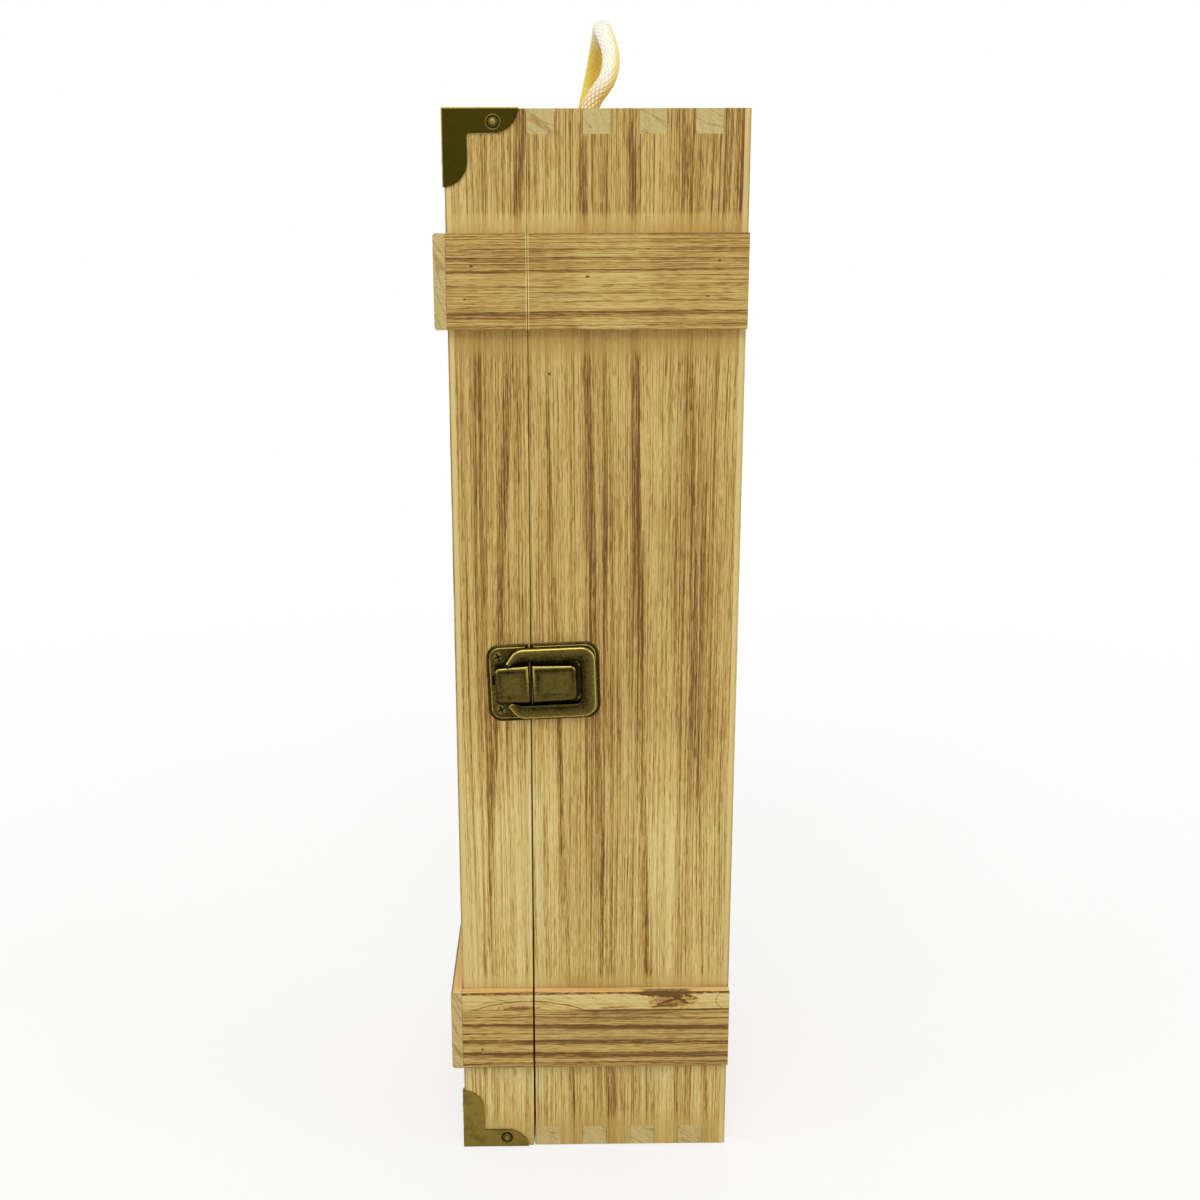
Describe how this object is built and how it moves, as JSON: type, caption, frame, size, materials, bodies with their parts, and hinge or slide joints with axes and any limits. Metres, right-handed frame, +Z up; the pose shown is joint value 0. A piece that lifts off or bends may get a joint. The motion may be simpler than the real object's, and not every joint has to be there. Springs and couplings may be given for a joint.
{
  "type": "wine box",
  "caption": "Upright wooden wine box for one bottle, with a side-hinged lid, wooden battens, metal corner brackets, a snap latch and a rope handle on top.",
  "frame": {"origin": "centre of the flat bottom face that the box stands on", "axes": "+Z up along the box's length, lid at -X and tray back at +X, latch side at -Y and hinge side at +Y"},
  "size_m": [0.0989, 0.1157, 0.3948],
  "materials": {
    "board": "torched and brushed pale softwood, matt",
    "batten": "torched softwood with dark grain, matt",
    "plywood": "thin plywood, matt",
    "bronze": "antique bronze plate, satin, bright where worn",
    "worn_bronze": "antique bronze worn bright, satin",
    "rope": "cream braided rope"
  },
  "bodies": {
    "tray": {"tray_side_near": "board", "tray_side_far": "board", "tray_end_top": "board", "tray_end_bottom": "board", "tray_back_panel": "plywood", "tray_batten_near_lower": "batten", "tray_batten_near_upper": "batten", "tray_batten_far_lower": "batten", "tray_batten_far_upper": "batten", "hinge_lower_tray_leaf": "bronze", "hinge_lower_pin": "worn_bronze", "hinge_upper_tray_leaf": "bronze", "hinge_upper_pin": "worn_bronze", "hinge_tray_screws": "worn_bronze", "latch_catch_plate": "bronze", "latch_catch_screws": "worn_bronze", "rope_ends": "rope"},
    "lid": {"lid_side_near": "board", "lid_side_far": "board", "lid_end_top": "board", "lid_end_bottom": "board", "lid_front_panel": "plywood", "lid_batten_near_lower": "batten", "lid_batten_near_upper": "batten", "lid_batten_far_lower": "batten", "lid_batten_far_upper": "batten", "front_batten_lower": "batten", "front_batten_upper": "batten", "bracket_near_bottom": "bronze", "bracket_near_top": "bronze", "bracket_far_bottom": "bronze", "bracket_far_top": "bronze", "bracket_nails": "worn_bronze", "hinge_lower_lid_leaf": "bronze", "hinge_upper_lid_leaf": "bronze", "hinge_lid_screws": "worn_bronze", "latch_lid_plate": "bronze", "latch_lid_screws": "worn_bronze"},
    "latch_ring": {"latch_ring": "bronze"},
    "handle": {"rope_loop": "rope"}
  },
  "joints": [
    {"name": "lid_hinge", "type": "hinge", "parent": "tray", "child": "lid", "pos_m": [-0.022, 0.0578, 0.18], "axis": [0, 0, -1], "range_deg": [0, 180]},
    {"name": "latch_swing", "type": "hinge", "parent": "lid", "child": "latch_ring", "pos_m": [-0.02949, -0.05505, 0.17671], "axis": [0.0384, 0, -0.9993], "range_deg": [0, 170]},
    {"name": "handle_swing", "type": "hinge", "parent": "tray", "child": "handle", "pos_m": [-0.0015, 0, 0.3633], "axis": [0, 1, 0], "range_deg": [-75, 45], "stiffness_Nm_per_rad": 0.02}
  ]
}
